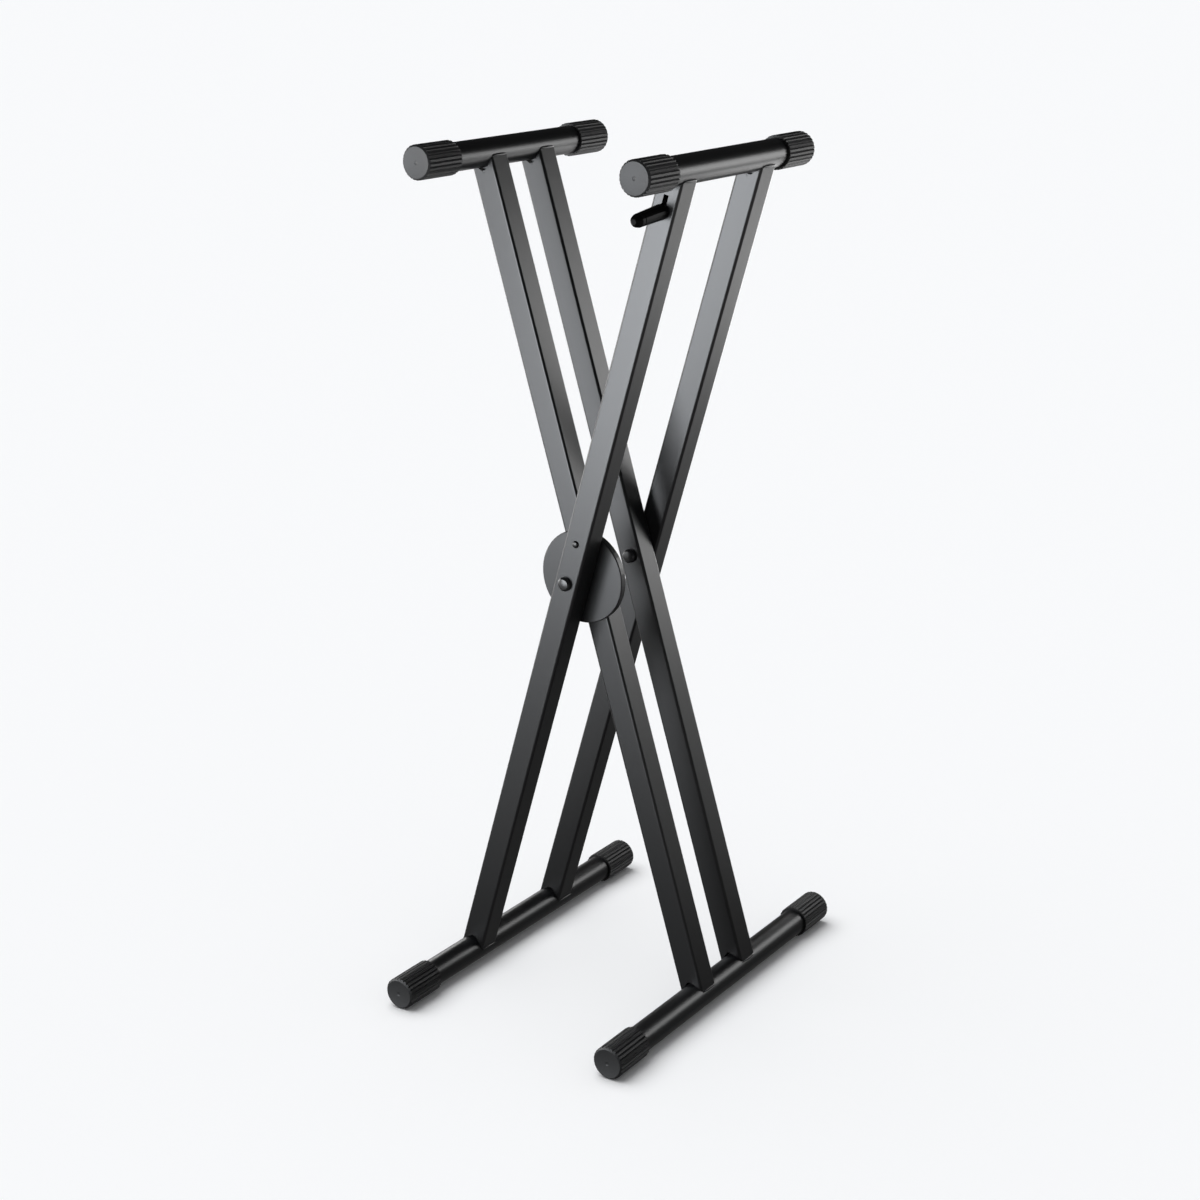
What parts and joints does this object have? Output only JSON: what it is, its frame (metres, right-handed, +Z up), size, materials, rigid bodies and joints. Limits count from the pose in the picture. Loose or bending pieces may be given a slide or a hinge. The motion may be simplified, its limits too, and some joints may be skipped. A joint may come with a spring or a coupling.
{
  "type": "folding keyboard stand",
  "caption": "Folding X-frame keyboard stand with paired square legs, round support arms and feet in ribbed rubber end caps, and a lever-released locking disc at the pivot.",
  "frame": {"origin": "floor level, below the pivot axis, midway along the bases", "axes": "+Z up, +Y along the pivot axis from the lock side to the plain side, +X across the legs towards the outer frame's support arm"},
  "size_m": [0.3312, 0.478, 0.9925],
  "materials": {
    "powder_coat": "satin black powder coat",
    "cap_rubber": "moulded matt black",
    "cover_black": "satin black",
    "black_hardware": "black oxide",
    "plain_steel": "plated",
    "nylon": "moulded black",
    "grip_plastic": "glossy black"
  },
  "bodies": {
    "inner_frame": {"inner_near_leg": "powder_coat", "inner_far_leg": "powder_coat", "inner_support_arm": "powder_coat", "inner_base_tube": "powder_coat", "inner_arm_near_cap": "cap_rubber", "inner_arm_far_cap": "cap_rubber", "inner_base_near_cap": "cap_rubber", "inner_base_far_cap": "cap_rubber", "inner_near_sleeve": "plain_steel", "inner_far_sleeve": "plain_steel", "lock_disc": "plain_steel", "far_pivot_bolt": "black_hardware", "far_pivot_spacer": "nylon", "far_pivot_washer": "black_hardware", "far_pivot_nut": "black_hardware"},
    "outer_frame": {"outer_near_leg": "powder_coat", "outer_far_leg": "powder_coat", "outer_support_arm": "powder_coat", "outer_base_tube": "powder_coat", "outer_arm_near_cap": "cap_rubber", "outer_arm_far_cap": "cap_rubber", "outer_base_near_cap": "cap_rubber", "outer_base_far_cap": "cap_rubber", "outer_near_sleeve": "plain_steel", "outer_far_sleeve": "plain_steel", "lock_cover": "cover_black", "lock_spacer": "nylon", "thrust_washer": "nylon", "near_pivot_bolt": "black_hardware", "near_pivot_washer": "black_hardware", "near_pivot_nut": "black_hardware", "guide_rivet": "black_hardware", "guide_bush": "nylon", "spring_seat": "nylon", "lock_spring": "plain_steel", "lever_pin": "black_hardware"},
    "release_lever": {"lever_plate": "black_hardware", "lever_grip": "grip_plastic"},
    "lock_bolt": {"lock_slider": "plain_steel", "pull_rod": "plain_steel", "rod_collar": "plain_steel", "rod_clevis": "plain_steel", "clevis_pin": "plain_steel"}
  },
  "joints": [
    {"name": "fold", "type": "hinge", "parent": "inner_frame", "child": "outer_frame", "pos_m": [0, 0, 0.51062], "axis": [0, 1, 0], "range_deg": [-28.4, 67]},
    {"name": "lever_lift", "type": "hinge", "parent": "outer_frame", "child": "release_lever", "pos_m": [0.12636, -0.077, 0.9345], "axis": [-0.9583, 0, 0.2857], "range_deg": [0, 16], "stiffness_Nm_per_rad": 1.5, "springref_deg": -17.19},
    {"name": "lock_slide", "type": "slide", "parent": "outer_frame", "child": "lock_bolt", "axis": [0.2857, 0, 0.9583], "range_m": [0, 0.0031], "deforming": ["lock_spring"]}
  ],
  "couplings": [
    {"joint": "lock_slide", "follows": "lever_lift", "m_per_rad": 0.011}
  ]
}
